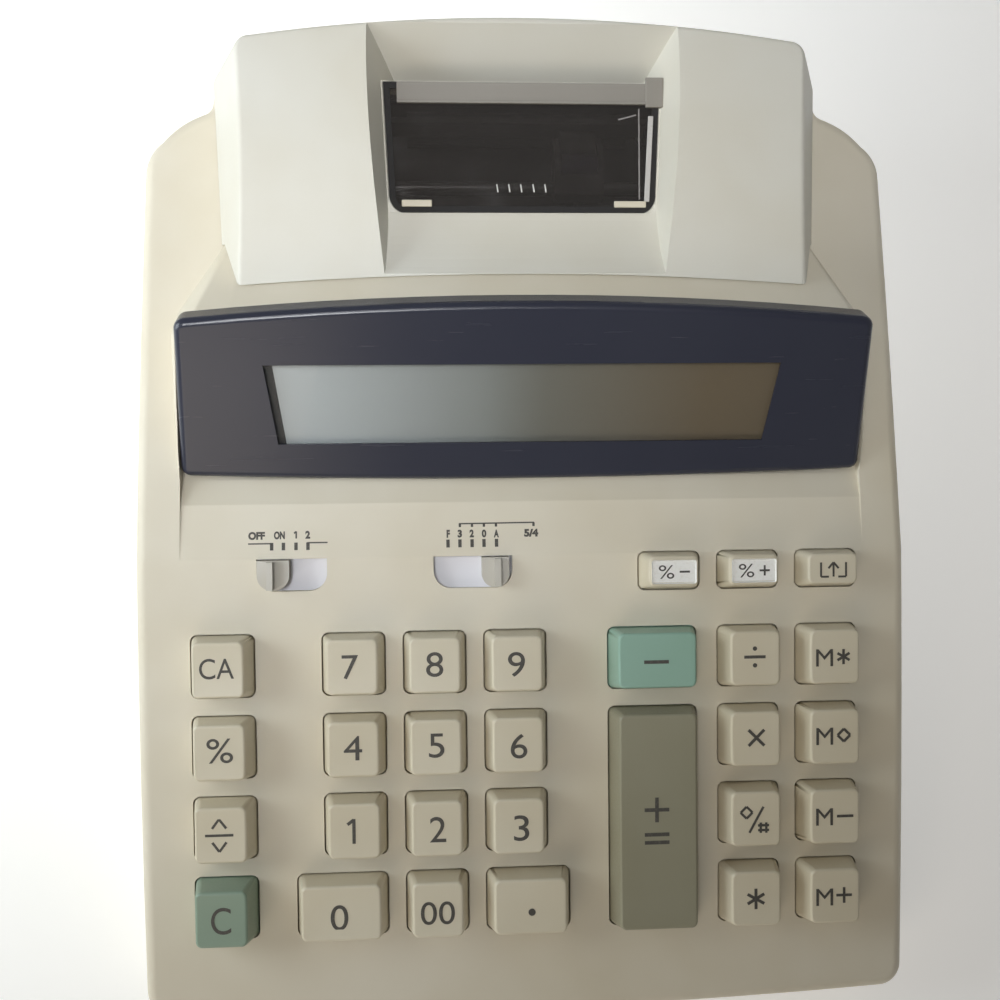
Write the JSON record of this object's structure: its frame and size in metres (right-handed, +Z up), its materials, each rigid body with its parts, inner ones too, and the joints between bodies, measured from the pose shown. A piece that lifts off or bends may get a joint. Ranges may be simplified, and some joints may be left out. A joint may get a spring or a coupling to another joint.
{
  "type": "printing calculator",
  "caption": "Desktop printing calculator with a raised tilted display, sprung keys, two slide switches, a hinged printer cover and folding paper-roll arms.",
  "frame": {"origin": "on the table, below the middle of the machine's outline", "axes": "+X to the right of the person using it, +Y to the rear, +Z up"},
  "size_m": [0.195, 0.2465, 0.0643],
  "materials": {
    "case_plastic": "fine matt texture, slightly yellowed with age",
    "cover_plastic": "fine matt texture",
    "key_plastic": "satin moulded keys",
    "clear_key_plastic": "satin",
    "minus_key_plastic": "satin",
    "plus_key_plastic": "satin",
    "bezel_plastic": "glossy",
    "clear_window": "clear, glossy",
    "smoked_window": "smoked, glossy",
    "lcd_glass": "reflective display, blank",
    "white_plastic": "satin",
    "dark_plastic": "matt",
    "silicone": "soft matt",
    "circuit_board": "lacquered board",
    "steel": "plain",
    "motor_steel": "plated can",
    "foot_rubber": "matt",
    "roller_rubber": "matt",
    "ink_felt": "inked felt",
    "cell_wrap": "plain sleeve"
  },
  "bodies": {
    "case": {"upper_case": "case_plastic", "lower_case": "case_plastic", "display_bezel": "bezel_plastic", "display_window": "clear_window", "lcd_panel": "lcd_glass", "lcd_holder": "dark_plastic", "key_mat": "silicone", "main_board": "circuit_board", "switch_backing": "white_plastic", "battery_cells": "cell_wrap", "battery_contacts": "steel", "screws": "steel", "rubber_feet": "foot_rubber", "printer_frame": "dark_plastic", "printer_motor": "motor_steel", "carriage_shaft": "steel", "adapter_jack": "dark_plastic"},
    "cover": {"printer_cover": "cover_plastic", "cover_window": "smoked_window"},
    "left_roll_arm": {"left_roll_arm": "case_plastic"},
    "right_roll_arm": {"right_roll_arm": "case_plastic"},
    "power_switch": {"power_switch_knob": "white_plastic"},
    "decimal_switch": {"decimal_switch_knob": "white_plastic"},
    "battery_door": {"battery_door": "case_plastic"},
    "carriage": {"print_carriage": "dark_plastic"},
    "type_wheel": {"type_wheel": "roller_rubber"},
    "ink_roller": {"ink_roller": "ink_felt"},
    "feed_roller": {"feed_roller": "roller_rubber", "feed_gear": "white_plastic"},
    "idler_gear": {"idler_gear": "white_plastic"},
    "motor_gear": {"motor_gear": "white_plastic"},
    "key_ca": {"key_ca": "key_plastic"},
    "key_percent": {"key_percent": "key_plastic"},
    "key_markup": {"key_markup": "key_plastic"},
    "key_c": {"key_c": "clear_key_plastic"},
    "key_7": {"key_7": "key_plastic"},
    "key_8": {"key_8": "key_plastic"},
    "key_9": {"key_9": "key_plastic"},
    "key_4": {"key_4": "key_plastic"},
    "key_5": {"key_5": "key_plastic"},
    "key_6": {"key_6": "key_plastic"},
    "key_1": {"key_1": "key_plastic"},
    "key_2": {"key_2": "key_plastic"},
    "key_3": {"key_3": "key_plastic"},
    "key_0": {"key_0": "key_plastic"},
    "key_00": {"key_00": "key_plastic"},
    "key_point": {"key_point": "key_plastic"},
    "key_minus": {"key_minus": "minus_key_plastic"},
    "key_plus_equals": {"key_plus_equals": "plus_key_plastic"},
    "key_divide": {"key_divide": "key_plastic"},
    "key_times": {"key_times": "key_plastic"},
    "key_subtotal": {"key_subtotal": "key_plastic"},
    "key_total": {"key_total": "key_plastic"},
    "key_memory_total": {"key_memory_total": "key_plastic"},
    "key_memory_subtotal": {"key_memory_subtotal": "key_plastic"},
    "key_memory_minus": {"key_memory_minus": "key_plastic"},
    "key_memory_plus": {"key_memory_plus": "key_plastic"},
    "key_rate_minus": {"key_rate_minus": "key_plastic"},
    "key_rate_plus": {"key_rate_plus": "key_plastic"},
    "key_feed": {"key_feed": "key_plastic"}
  },
  "joints": [
    {"name": "cover_hinge", "type": "hinge", "parent": "case", "child": "cover", "pos_m": [0, 0.11632, 0.05369], "axis": [-1, 0, 0], "range_deg": [0, 75]},
    {"name": "left_arm_swing", "type": "hinge", "parent": "case", "child": "left_roll_arm", "pos_m": [-0.0315, 0.1196, 0.031], "axis": [0, 0, 1], "range_deg": [0, 90]},
    {"name": "right_arm_swing", "type": "hinge", "parent": "case", "child": "right_roll_arm", "pos_m": [0.0315, 0.1196, 0.031], "axis": [0, 0, -1], "range_deg": [0, 90]},
    {"name": "power_switch_slide", "type": "slide", "parent": "case", "child": "power_switch", "axis": [1, 0, 0], "range_m": [0, 0.0089]},
    {"name": "decimal_switch_slide", "type": "slide", "parent": "case", "child": "decimal_switch", "axis": [-1, 0, 0], "range_m": [0, 0.0114]},
    {"name": "battery_door_slide", "type": "slide", "parent": "case", "child": "battery_door", "axis": [0, -1, 0], "range_m": [0, 0.004]},
    {"name": "carriage_slide", "type": "slide", "parent": "case", "child": "carriage", "axis": [1, 0, 0], "range_m": [-0.042, 0.014]},
    {"name": "feed_roller_spin", "type": "hinge", "parent": "case", "child": "feed_roller", "pos_m": [0, 0.1056, 0.0352], "axis": [1, 0, 0], "continuous": true},
    {"name": "idler_gear_spin", "type": "hinge", "parent": "case", "child": "idler_gear", "pos_m": [0.0443, 0.0906, 0.0352], "axis": [1, 0, 0], "continuous": true},
    {"name": "motor_gear_spin", "type": "hinge", "parent": "case", "child": "motor_gear", "pos_m": [0.0443, 0.0806, 0.0352], "axis": [1, 0, 0], "continuous": true},
    {"name": "type_wheel_spin", "type": "hinge", "parent": "carriage", "child": "type_wheel", "pos_m": [0.0147, 0.0966, 0.0445], "axis": [1, 0, 0], "continuous": true},
    {"name": "ink_roller_spin", "type": "hinge", "parent": "carriage", "child": "ink_roller", "pos_m": [0.0147, 0.09071, 0.0479], "axis": [1, 0, 0], "continuous": true},
    {"name": "key_ca_press", "type": "slide", "parent": "case", "child": "key_ca", "axis": [0, 0.165, -0.9863], "range_m": [0, 0.0025], "stiffness_N_per_m": 200, "springref_m": -0.0015, "deforming": ["key_mat"]},
    {"name": "key_percent_press", "type": "slide", "parent": "case", "child": "key_percent", "axis": [0, 0.165, -0.9863], "range_m": [0, 0.0025], "stiffness_N_per_m": 200, "springref_m": -0.0015, "deforming": ["key_mat"]},
    {"name": "key_markup_press", "type": "slide", "parent": "case", "child": "key_markup", "axis": [0, 0.165, -0.9863], "range_m": [0, 0.0025], "stiffness_N_per_m": 200, "springref_m": -0.0015, "deforming": ["key_mat"]},
    {"name": "key_c_press", "type": "slide", "parent": "case", "child": "key_c", "axis": [0, 0.165, -0.9863], "range_m": [0, 0.0025], "stiffness_N_per_m": 200, "springref_m": -0.0015, "deforming": ["key_mat"]},
    {"name": "key_7_press", "type": "slide", "parent": "case", "child": "key_7", "axis": [0, 0.165, -0.9863], "range_m": [0, 0.0025], "stiffness_N_per_m": 200, "springref_m": -0.0015, "deforming": ["key_mat"]},
    {"name": "key_8_press", "type": "slide", "parent": "case", "child": "key_8", "axis": [0, 0.165, -0.9863], "range_m": [0, 0.0025], "stiffness_N_per_m": 200, "springref_m": -0.0015, "deforming": ["key_mat"]},
    {"name": "key_9_press", "type": "slide", "parent": "case", "child": "key_9", "axis": [0, 0.165, -0.9863], "range_m": [0, 0.0025], "stiffness_N_per_m": 200, "springref_m": -0.0015, "deforming": ["key_mat"]},
    {"name": "key_4_press", "type": "slide", "parent": "case", "child": "key_4", "axis": [0, 0.165, -0.9863], "range_m": [0, 0.0025], "stiffness_N_per_m": 200, "springref_m": -0.0015, "deforming": ["key_mat"]},
    {"name": "key_5_press", "type": "slide", "parent": "case", "child": "key_5", "axis": [0, 0.165, -0.9863], "range_m": [0, 0.0025], "stiffness_N_per_m": 200, "springref_m": -0.0015, "deforming": ["key_mat"]},
    {"name": "key_6_press", "type": "slide", "parent": "case", "child": "key_6", "axis": [0, 0.165, -0.9863], "range_m": [0, 0.0025], "stiffness_N_per_m": 200, "springref_m": -0.0015, "deforming": ["key_mat"]},
    {"name": "key_1_press", "type": "slide", "parent": "case", "child": "key_1", "axis": [0, 0.165, -0.9863], "range_m": [0, 0.0025], "stiffness_N_per_m": 200, "springref_m": -0.0015, "deforming": ["key_mat"]},
    {"name": "key_2_press", "type": "slide", "parent": "case", "child": "key_2", "axis": [0, 0.165, -0.9863], "range_m": [0, 0.0025], "stiffness_N_per_m": 200, "springref_m": -0.0015, "deforming": ["key_mat"]},
    {"name": "key_3_press", "type": "slide", "parent": "case", "child": "key_3", "axis": [0, 0.165, -0.9863], "range_m": [0, 0.0025], "stiffness_N_per_m": 200, "springref_m": -0.0015, "deforming": ["key_mat"]},
    {"name": "key_0_press", "type": "slide", "parent": "case", "child": "key_0", "axis": [0, 0.165, -0.9863], "range_m": [0, 0.0025], "stiffness_N_per_m": 200, "springref_m": -0.0015, "deforming": ["key_mat"]},
    {"name": "key_00_press", "type": "slide", "parent": "case", "child": "key_00", "axis": [0, 0.165, -0.9863], "range_m": [0, 0.0025], "stiffness_N_per_m": 200, "springref_m": -0.0015, "deforming": ["key_mat"]},
    {"name": "key_point_press", "type": "slide", "parent": "case", "child": "key_point", "axis": [0, 0.165, -0.9863], "range_m": [0, 0.0025], "stiffness_N_per_m": 200, "springref_m": -0.0015, "deforming": ["key_mat"]},
    {"name": "key_minus_press", "type": "slide", "parent": "case", "child": "key_minus", "axis": [0, 0.165, -0.9863], "range_m": [0, 0.0025], "stiffness_N_per_m": 200, "springref_m": -0.0015, "deforming": ["key_mat"]},
    {"name": "key_plus_equals_press", "type": "slide", "parent": "case", "child": "key_plus_equals", "axis": [0, 0.165, -0.9863], "range_m": [0, 0.0025], "stiffness_N_per_m": 200, "springref_m": -0.0015, "deforming": ["key_mat"]},
    {"name": "key_divide_press", "type": "slide", "parent": "case", "child": "key_divide", "axis": [0, 0.165, -0.9863], "range_m": [0, 0.0025], "stiffness_N_per_m": 200, "springref_m": -0.0015, "deforming": ["key_mat"]},
    {"name": "key_times_press", "type": "slide", "parent": "case", "child": "key_times", "axis": [0, 0.165, -0.9863], "range_m": [0, 0.0025], "stiffness_N_per_m": 200, "springref_m": -0.0015, "deforming": ["key_mat"]},
    {"name": "key_subtotal_press", "type": "slide", "parent": "case", "child": "key_subtotal", "axis": [0, 0.165, -0.9863], "range_m": [0, 0.0025], "stiffness_N_per_m": 200, "springref_m": -0.0015, "deforming": ["key_mat"]},
    {"name": "key_total_press", "type": "slide", "parent": "case", "child": "key_total", "axis": [0, 0.165, -0.9863], "range_m": [0, 0.0025], "stiffness_N_per_m": 200, "springref_m": -0.0015, "deforming": ["key_mat"]},
    {"name": "key_memory_total_press", "type": "slide", "parent": "case", "child": "key_memory_total", "axis": [0, 0.165, -0.9863], "range_m": [0, 0.0025], "stiffness_N_per_m": 200, "springref_m": -0.0015, "deforming": ["key_mat"]},
    {"name": "key_memory_subtotal_press", "type": "slide", "parent": "case", "child": "key_memory_subtotal", "axis": [0, 0.165, -0.9863], "range_m": [0, 0.0025], "stiffness_N_per_m": 200, "springref_m": -0.0015, "deforming": ["key_mat"]},
    {"name": "key_memory_minus_press", "type": "slide", "parent": "case", "child": "key_memory_minus", "axis": [0, 0.165, -0.9863], "range_m": [0, 0.0025], "stiffness_N_per_m": 200, "springref_m": -0.0015, "deforming": ["key_mat"]},
    {"name": "key_memory_plus_press", "type": "slide", "parent": "case", "child": "key_memory_plus", "axis": [0, 0.165, -0.9863], "range_m": [0, 0.0025], "stiffness_N_per_m": 200, "springref_m": -0.0015, "deforming": ["key_mat"]},
    {"name": "key_rate_minus_press", "type": "slide", "parent": "case", "child": "key_rate_minus", "axis": [0, 0.165, -0.9863], "range_m": [0, 0.0025], "stiffness_N_per_m": 200, "springref_m": -0.0015, "deforming": ["key_mat"]},
    {"name": "key_rate_plus_press", "type": "slide", "parent": "case", "child": "key_rate_plus", "axis": [0, 0.165, -0.9863], "range_m": [0, 0.0025], "stiffness_N_per_m": 200, "springref_m": -0.0015, "deforming": ["key_mat"]},
    {"name": "key_feed_press", "type": "slide", "parent": "case", "child": "key_feed", "axis": [0, 0.165, -0.9863], "range_m": [0, 0.0025], "stiffness_N_per_m": 200, "springref_m": -0.0015, "deforming": ["key_mat"]}
  ],
  "couplings": [
    {"joint": "idler_gear_spin", "follows": "feed_roller_spin", "ratio": -1.1429},
    {"joint": "motor_gear_spin", "follows": "feed_roller_spin", "ratio": 2.6667},
    {"joint": "ink_roller_spin", "follows": "type_wheel_spin", "ratio": -1.68}
  ]
}
